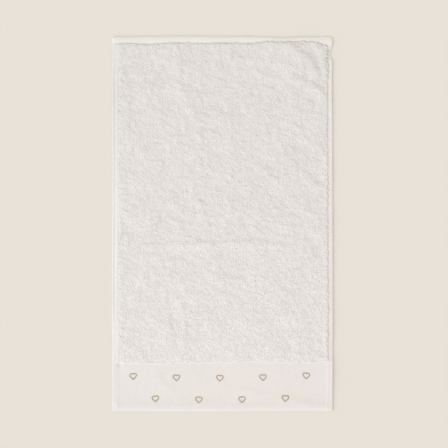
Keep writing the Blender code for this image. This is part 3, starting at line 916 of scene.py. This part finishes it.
def build_pile(material):
    """All the loops, in bands along the cloth."""
    random = np.random.default_rng(PILE_SEED)
    root_x, root_y = loop_roots(random)
    count = len(root_x)
    angle = random.uniform(0.0, math.pi, count)
    span = random.uniform(LOOP_SPAN_LOW, LOOP_SPAN_HIGH, count)
    way_x, way_y = np.cos(angle), np.sin(angle)
    root_x, root_y = kept_in_field(root_x, root_y, span * way_x / 2, span * way_y / 2)
    place_x, place_y = placed(root_x, root_y)
    sway = random.normal(0.0, SWAY_SPREAD, count)
    curl = random.normal(0.0, CURL_SPREAD, count)
    rise = random.normal(0.0, RISE_SPREAD, count)
    way = np.stack([way_x, way_y, np.zeros(count)], axis=-1)
    side = np.stack([-way_y, way_x, np.zeros(count)], axis=-1)
    forwards = span[:, None] * LOOP_ALONG
    sideways = sway[:, None] * LOOP_SWAY + curl[:, None] * LOOP_CURL
    centres = way[:, None, :] * forwards[:, :, None] + side[:, None, :] * sideways[:, :, None]
    centres[:, :, 0] += place_x[:, None]
    centres[:, :, 1] += place_y[:, None]
    centres[:, :, 2] = PILE_FLOOR + rise[:, None] + LOOP_RISE
    centres[:, :, 2] += relief(centres[:, :, 0], centres[:, :, 1])
    centres[:, :, 2] += lumps(centres[:, :, 0], centres[:, :, 1])
    thickness = random.uniform(1.0 - YARN_UNEVENNESS, 1.0 + YARN_UNEVENNESS, count)
    radii = YARN_RADIUS * thickness[:, None] * LOOP_THICKNESS
    tone = TONE_MIDDLE + TONE_SPREAD * random.normal(0.0, 1.0, count)
    # painted light and shade: loops raised on a lump are lighter, loops in its hollows darker
    tone = tone + PAINTED_LIGHT_ON_LUMP * lumps(place_x, place_y) / LUMPS[0].height
    # painted shade: the loops darken towards the far end and the right, away from the key light
    tone = tone + PAINTED_SHADE_TO_FAR_END * place_y / HALF_LENGTH + PAINTED_SHADE_TO_RIGHT * place_x / HALF_WIDTH
    order = np.array_split(np.argsort(root_y, kind="stable"), PILE_BANDS)
    return [
        tube_piece(
            f"pile_band_{band}",
            centres[members],
            radii[members],
            side[members],
            YARN_SECTION,
            material,
            tone[members],
        )
        for band, members in enumerate(order, start=1)
    ]


# ---------------------------------------------------------------------------------------
# The hems' stitches
# ---------------------------------------------------------------------------------------

STITCH_SEED = 23
STITCH_PITCH = 4.2 * MM
STITCH_SHARE = 0.80
STITCH_RADIUS = 0.24 * MM
STITCH_WANDER = 0.08 * MM
STITCH_TONE_SPREAD = 0.3
# Along a stitch: how high each ring is over the cloth. Both ends go down into it.
STITCH_RISE = np.array([-1.6, 0.2, 0.5, 0.2, -1.6]) * STITCH_RADIUS
THREAD_SIDES = 4

# Each row of stitches in the flat rectangle, from where to where.
SEAM_END = 2 * MM
NEAR_SEAM_INSET = NEAR_FOLD_WIDTH + 2.2 * MM
SeamRow = namedtuple("SeamRow", "name start end")
SEAM_ROWS = (
    SeamRow(
        "left",
        (-HALF_WIDTH + LEFT_STITCH_INSET, -HALF_LENGTH + SEAM_END),
        (-HALF_WIDTH + LEFT_STITCH_INSET, HALF_LENGTH - FAR_HEM_WIDTH),
    ),
    SeamRow(
        "right",
        (HALF_WIDTH - RIGHT_HEM_WIDTH, -HALF_LENGTH + SEAM_END),
        (HALF_WIDTH - RIGHT_HEM_WIDTH, HALF_LENGTH - SEAM_END),
    ),
    SeamRow(
        "far",
        (-HALF_WIDTH + 3 * SEAM_END, HALF_LENGTH - FAR_HEM_WIDTH),
        (HALF_WIDTH - 2 * SEAM_END, HALF_LENGTH - FAR_HEM_WIDTH),
    ),
    SeamRow(
        "near",
        (-HALF_WIDTH + SEAM_END, -HALF_LENGTH + NEAR_SEAM_INSET),
        (HALF_WIDTH - SEAM_END, -HALF_LENGTH + NEAR_SEAM_INSET),
    ),
)


def build_stitches(material):
    """The rows of machine stitches that hold the hems down."""
    random = np.random.default_rng(STITCH_SEED)
    all_centres, all_across = [], []
    for row in SEAM_ROWS:
        start, end = np.array(row.start), np.array(row.end)
        length = np.linalg.norm(end - start)
        way = (end - start) / length
        side = np.array([-way[1], way[0]])
        count = int(length / STITCH_PITCH)
        middles = (np.arange(count) + 0.5) * length / count
        offsets = np.linspace(-0.5, 0.5, len(STITCH_RISE)) * STITCH_PITCH * STITCH_SHARE
        runs = middles[:, None] + offsets[None, :]
        flat = start + way * runs[:, :, None]
        flat = flat + side * random.normal(0, STITCH_WANDER, (count, 1, 1))
        x, y = flat[..., 0], flat[..., 1]
        height = sheet_top(x, y) + STITCH_RISE
        all_centres.append(np.stack([*placed(x, y), height], axis=-1))
        all_across.append(np.tile([*side, 0.0], (count, 1)))
    centres, across = np.concatenate(all_centres), np.concatenate(all_across)
    radii = np.full(centres.shape[:2], STITCH_RADIUS)
    tones = 0.5 + random.normal(0, STITCH_TONE_SPREAD, len(centres))
    return tube_piece(
        "hem_stitches", centres, radii, across, circle(THREAD_SIDES), material, tones
    )


# ---------------------------------------------------------------------------------------
# The embroidered hearts
# ---------------------------------------------------------------------------------------

HEART_SEED = 41
HEART_WIDTH = 10.2 * MM
HEART_LENGTH = 9.2 * MM
HEART_STROKE = 1.3 * MM
LOBE_RADIUS = 2.5 * MM
HEART_TILTS = {
    "heart_upper_1": 4,
    "heart_upper_2": 2,
    "heart_upper_3": -3,
    "heart_upper_4": 3,
    "heart_upper_5": -5,
    "heart_lower_1": 6,
    "heart_lower_2": -2,
    "heart_lower_3": 2,
    "heart_lower_4": -4,
}
LOBE_STEPS = 60
FLANK_STEPS = 40
THREAD_PITCH = 0.30 * MM
THREAD_RADIUS = 0.17 * MM
THREAD_SLANT = math.radians(16)
SLANT_SPREAD = 0.05
REACH_SPREAD = 0.035
LIFT_SPREAD = 0.03 * MM
THREAD_TONE_SPREAD = 0.25
# Along a thread, across the stroke: where each ring is, and how high over the cloth.
THREAD_ALONG = np.array([-1.0, -0.62, 0.0, 0.62, 1.0])
THREAD_ARCH = np.array([-0.10, 0.30, 0.50, 0.30, -0.10]) * MM


def heart_outline():
    """The middle line of a heart's stroke, clockwise from the notch, in small steps."""
    lobe_x = (HEART_WIDTH - HEART_STROKE) / 2 - LOBE_RADIUS
    lobe_y = (HEART_LENGTH - HEART_STROKE) / 2 - LOBE_RADIUS
    point_y = -(HEART_LENGTH - HEART_STROKE) / 2
    reach = math.hypot(lobe_x, lobe_y - point_y)
    flank_turn = math.asin(LOBE_RADIUS / reach) + math.atan2(lobe_x, lobe_y - point_y)
    first_turn = math.acos(-lobe_x / LOBE_RADIUS)
    turns = np.linspace(first_turn, -flank_turn, LOBE_STEPS)
    lobe = np.stack(
        [lobe_x + LOBE_RADIUS * np.cos(turns), lobe_y + LOBE_RADIUS * np.sin(turns)], axis=-1
    )
    share = np.linspace(0.0, 1.0, FLANK_STEPS)[1:, None]
    flank = lobe[-1] * (1 - share) + np.array([0.0, point_y]) * share
    right = np.concatenate([lobe, flank])
    left = right[-2:0:-1] * (-1.0, 1.0)
    return np.concatenate([right, left])


def evenly_along(outline, pitch):
    """Points at an even pitch along a closed outline, and the direction there."""
    closed = np.concatenate([outline, outline[:1]])
    steps = np.linalg.norm(np.diff(closed, axis=0), axis=1)
    passed = np.concatenate([[0.0], np.cumsum(steps)])
    count = round(passed[-1] / pitch)
    runs = (np.arange(count) + 0.5) * passed[-1] / count
    points = np.stack([np.interp(runs, passed, closed[:, axis]) for axis in (0, 1)], axis=-1)
    ahead = np.roll(points, -1, axis=0) - np.roll(points, 1, axis=0)
    return points, ahead / np.linalg.norm(ahead, axis=1, keepdims=True)


def build_heart(name, tilt_degrees, material, random):
    """One heart: satin stitches across its outline, each a thread that arches over."""
    low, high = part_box(name)
    centre = (np.array(low) + np.array(high))[:2] / 2
    tilt = math.radians(tilt_degrees)
    turn = np.array([[math.cos(tilt), math.sin(tilt)], [-math.sin(tilt), math.cos(tilt)]])
    points, ahead = evenly_along(heart_outline(), THREAD_PITCH)
    count = len(points)
    normal = np.stack([ahead[:, 1], -ahead[:, 0]], axis=-1)
    slant = THREAD_SLANT + random.normal(0.0, SLANT_SPREAD, count)
    way = normal * np.cos(slant)[:, None] + ahead * np.sin(slant)[:, None]
    reach = HEART_STROKE * (0.5 + random.normal(0.0, REACH_SPREAD, count))
    flat = points[:, None, :] + way[:, None, :] * (reach[:, None] * THREAD_ALONG)[:, :, None]
    flat = flat @ turn + centre
    lift = THREAD_ARCH + random.normal(0.0, LIFT_SPREAD, (count, 1))
    height = sheet_top(flat[..., 0], flat[..., 1]) + lift
    centres = np.concatenate([flat, height[..., None]], axis=-1)
    across = np.concatenate([-ahead @ turn, np.zeros((count, 1))], axis=-1)
    radii = np.full(centres.shape[:2], THREAD_RADIUS)
    tones = 0.5 + random.normal(0.0, THREAD_TONE_SPREAD, count)
    piece_name = name.replace("heart", "heart_threads")
    return tube_piece(piece_name, centres, radii, across, circle(THREAD_SIDES), material, tones)


# ---------------------------------------------------------------------------------------
# Floor, light and camera
# ---------------------------------------------------------------------------------------

FLOOR_COLOR = (0.820, 0.7885, 0.746)
FLOOR_HALF = 12.0
# How much light the level floor gets, from all round and from the key light.
WORLD_COLOR = (0.815, 0.7605, 0.687)
SUN_COLOR = (0.175, 0.20, 0.23)
# The key light comes from SUN_ACROSS, and is SUN_ANGLE radians wide.
SUN_HEIGHT = math.radians(33)
SUN_ACROSS = (-2.2, -1.5)
SUN_ANGLE = 0.9
# At the height of the pile the view is FRAME_SPAN wide.
FRAME_SPAN = 0.6082
FRAME_CENTRE = (2.05 * MM, -0.1 * MM)
LENS = 85.0
SENSOR = 36.0


def build_floor():
    """A plain pale floor, far larger than the view."""
    values = {"Roughness": 0.9, "Specular IOR Level": 0.1}
    material, _, _ = new_material("pale_floor", FLOOR_COLOR, values)
    mesh = bpy.data.meshes.new("floor")
    half = FLOOR_HALF
    corners = [(-half, -half, 0), (half, -half, 0), (half, half, 0), (-half, half, 0)]
    mesh.from_pydata(corners, [], [(0, 1, 2, 3)])
    mesh.materials.append(material)
    floor = bpy.data.objects.new("floor", mesh)
    bpy.context.scene.collection.objects.link(floor)


def build_light():
    """A soft key light from the near left, and an even fill from all round."""
    world = bpy.data.worlds.new("studio")
    bpy.context.scene.world = world
    world.use_nodes = True
    background = world.node_tree.nodes["Background"]
    background.inputs["Color"].default_value = (*WORLD_COLOR, 1.0)
    background.inputs["Strength"].default_value = 1.0
    key = bpy.data.lights.new("key", "SUN")
    key.energy = math.pi / math.sin(SUN_HEIGHT)
    key.color = SUN_COLOR
    key.angle = SUN_ANGLE
    lamp = bpy.data.objects.new("key", key)
    lamp.rotation_mode = "QUATERNION"
    away = Vector((*SUN_ACROSS, math.hypot(*SUN_ACROSS) * math.tan(SUN_HEIGHT)))
    lamp.rotation_quaternion = away.to_track_quat("Z", "Y")
    bpy.context.scene.collection.objects.link(lamp)


def build_camera():
    """A long lens straight above the towel, as in the photograph."""
    data = bpy.data.cameras.new("camera")
    data.lens = LENS
    data.sensor_width = SENSOR
    camera = bpy.data.objects.new("camera", data)
    camera.location = (*FRAME_CENTRE, FRAME_SPAN * LENS / SENSOR + PILE_HEIGHT)
    bpy.context.scene.collection.objects.link(camera)
    bpy.context.scene.camera = camera


# ---------------------------------------------------------------------------------------
# Putting it together
# ---------------------------------------------------------------------------------------

bpy.context.scene.view_settings.view_transform = "Standard"
build_camera()
build_light()
build_floor()

sheet = build_sheet(sheet_material())
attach(sheet, "root")
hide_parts("towel_cloth")

pile = build_pile(pile_material())
hem_look = {"Roughness": 0.7, "Metallic": 0.0, "Sheen Weight": 0.1}
hem_thread = thread_material("hem_thread", SHEET_COLOR_LOW, STITCH_COLOR, hem_look)
stitches = build_stitches(hem_thread)
for piece in [*pile, stitches]:
    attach(piece, "root")

gold_look = {"Roughness": 0.45, "Metallic": 0.1, "Sheen Weight": 0.0}
gold_thread = thread_material("gold_thread", GOLD_COLOR_LOW, GOLD_COLOR_HIGH, gold_look)
heart_random = np.random.default_rng(HEART_SEED)
for heart_name, heart_tilt in HEART_TILTS.items():
    heart = build_heart(heart_name, heart_tilt, gold_thread, heart_random)
    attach(heart, "root")
    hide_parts(heart_name)
